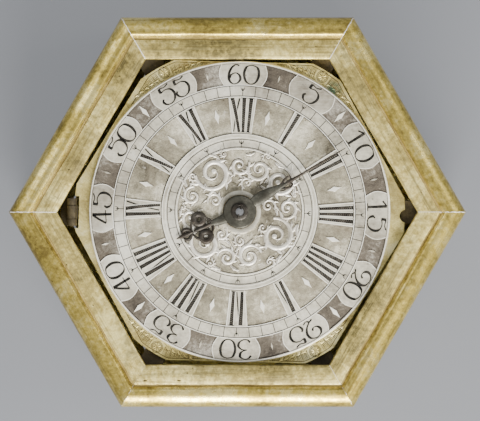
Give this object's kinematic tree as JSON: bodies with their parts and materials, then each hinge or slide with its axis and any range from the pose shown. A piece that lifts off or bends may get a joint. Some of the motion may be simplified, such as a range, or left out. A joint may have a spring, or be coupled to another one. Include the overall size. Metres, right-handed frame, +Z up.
{
  "type": "horizontal table clock",
  "caption": "Six-sided gilt brass table clock with an upward dial, steel hands, glazed sides, bun feet and a movement that swings out on a corner hinge",
  "frame": {"origin": "centre of the footprint, on the surface the feet stand on", "axes": "+Z up out of the dial, +Y toward twelve o'clock, +X toward three o'clock, along the widest measure from corner to corner"},
  "size_m": [0.14, 0.1192, 0.078],
  "materials": {
    "gilt_case": "aged gilt, mottled",
    "gilt_dial": "engraved gilt",
    "silver": "aged silver, matted and polished",
    "glass": "clear, slightly wavy",
    "blued_steel": "dark steel",
    "bell_metal": "turned bell bronze",
    "brass": "polished brass",
    "steel": "bright steel"
  },
  "bodies": {
    "case": {"top_frame": "gilt_case", "base_frame": "gilt_case", "side_panels": "gilt_case", "window_panes": "glass", "window_frames": "gilt_case", "corner_pilasters": "gilt_case", "feet": "gilt_case", "dial_lugs": "gilt_case", "movement_hinge_case_leaf": "gilt_case", "movement_hinge_pin": "steel", "catch_guide": "gilt_case", "base_frame_hinge_leaf": "gilt_case", "base_cover_hinge_pin": "steel"},
    "movement_catch_bolt": {"movement_catch": "steel"},
    "cover": {"base_cover": "gilt_case", "bell": "bell_metal", "bell_stud": "steel", "base_cover_hinge_leaf": "gilt_case", "base_catch_screw": "steel"},
    "cover_catch": {"base_catch": "gilt_case"},
    "movement": {"movement_hinge_leaf": "gilt_dial", "dial_plate": "gilt_dial", "dial_disc": "silver", "front_plate": "brass", "back_plate": "brass", "plate_pillars": "brass", "pillar_nuts": "steel", "crown_potences": "brass", "balance_spring": "steel", "balance_cock": "brass", "balance_cock_screw": "steel", "verge_bracket": "brass", "minute_wheel_stud": "steel", "hammer_spring": "steel", "chain_run": "steel", "barrel_arbor": "steel", "mainspring": "steel"},
    "minute_group": {"cannon_pinion": "steel", "minute_hand": "blued_steel", "hand_collet": "blued_steel"},
    "minute_wheel_group": {"minute_wheel": "brass"},
    "hour_group": {"hour_wheel": "brass", "hour_hand": "blued_steel"},
    "centre_group": {"centre_arbor": "steel", "centre_wheel": "brass"},
    "third_group": {"third_arbor": "steel", "third_wheel": "brass"},
    "contrate_group": {"contrate_arbor": "steel", "contrate_wheel": "brass"},
    "crown_group": {"crown_arbor": "steel", "crown_wheel": "brass"},
    "fusee_group": {"fusee": "brass", "fusee_arbor": "steel", "great_wheel": "brass"},
    "barrel_group": {"mainspring_barrel": "brass", "chain_on_barrel": "steel"},
    "verge_group": {"verge": "steel", "balance_wheel": "brass"},
    "hammer_group": {"bell_hammer": "steel"}
  },
  "joints": [
    {"name": "movement_hinge", "type": "hinge", "parent": "case", "child": "movement", "pos_m": [-0.0506, 0, 0.0746], "axis": [0, -1, 0], "range_deg": [0, 90]},
    {"name": "movement_catch_slide", "type": "slide", "parent": "case", "child": "movement_catch_bolt", "axis": [-1, 0, 0], "range_m": [0, 0.0025]},
    {"name": "base_cover_hinge", "type": "hinge", "parent": "case", "child": "cover", "pos_m": [0, -0.0445, 0.015], "axis": [-1, 0, 0], "range_deg": [0, 80]},
    {"name": "base_catch_turn", "type": "hinge", "parent": "cover", "child": "cover_catch", "pos_m": [0, 0.0426, 0.0135], "axis": [0, 0, 1], "range_deg": [0, 180]},
    {"name": "minute_hand_turn", "type": "hinge", "parent": "movement", "child": "minute_group", "pos_m": [0.0007, 0.0001, 0.076], "axis": [0, 0, 1], "continuous": true},
    {"name": "minute_wheel_turn", "type": "hinge", "parent": "movement", "child": "minute_wheel_group", "pos_m": [0.00098, 0.0109, 0.068], "axis": [0, 0, 1], "continuous": true},
    {"name": "hour_hand_turn", "type": "hinge", "parent": "movement", "child": "hour_group", "pos_m": [0.0007, 0.0001, 0.075], "axis": [0, 0, 1], "continuous": true},
    {"name": "third_wheel_turn", "type": "hinge", "parent": "movement", "child": "third_group", "pos_m": [-0.00022, 0.01519, 0.06], "axis": [0, 0, 1], "continuous": true},
    {"name": "centre_wheel_turn", "type": "hinge", "parent": "movement", "child": "centre_group", "pos_m": [0.0007, 0.0001, 0.06], "axis": [0, 0, 1], "continuous": true},
    {"name": "fusee_turn", "type": "hinge", "parent": "movement", "child": "fusee_group", "pos_m": [-0.01386, -0.00962, 0.05], "axis": [0, 0, 1], "continuous": true},
    {"name": "barrel_turn", "type": "hinge", "parent": "movement", "child": "barrel_group", "pos_m": [0.01282, -0.01822, 0.05], "axis": [0, 0, 1], "continuous": true},
    {"name": "contrate_wheel_turn", "type": "hinge", "parent": "movement", "child": "contrate_group", "pos_m": [0.01285, 0.01833, 0.052], "axis": [0, 0, 1], "continuous": true},
    {"name": "crown_wheel_turn", "type": "hinge", "parent": "movement", "child": "crown_group", "pos_m": [0.01565, 0.00666, 0.049], "axis": [0.2334, -0.9724, 0], "continuous": true},
    {"name": "balance_swing", "type": "hinge", "parent": "movement", "child": "verge_group", "pos_m": [0.01737, -0.00053, 0.0369], "axis": [0, 0, 1], "range_deg": [-60, 60]},
    {"name": "hammer_swing", "type": "hinge", "parent": "movement", "child": "hammer_group", "pos_m": [-0.01928, 0.02013, 0.045], "axis": [0, 0, 1], "range_deg": [-2, 8], "stiffness_Nm_per_rad": 0.01}
  ],
  "couplings": [
    {"joint": "minute_wheel_turn", "follows": "minute_hand_turn", "ratio": -0.33333},
    {"joint": "hour_hand_turn", "follows": "minute_hand_turn", "ratio": 0.083333},
    {"joint": "centre_wheel_turn", "follows": "third_wheel_turn", "ratio": -0.125},
    {"joint": "fusee_turn", "follows": "third_wheel_turn", "ratio": 0.03125},
    {"joint": "barrel_turn", "follows": "third_wheel_turn", "ratio": 0.020628},
    {"joint": "contrate_wheel_turn", "follows": "third_wheel_turn", "ratio": -7},
    {"joint": "crown_wheel_turn", "follows": "third_wheel_turn", "ratio": 42}
  ]
}
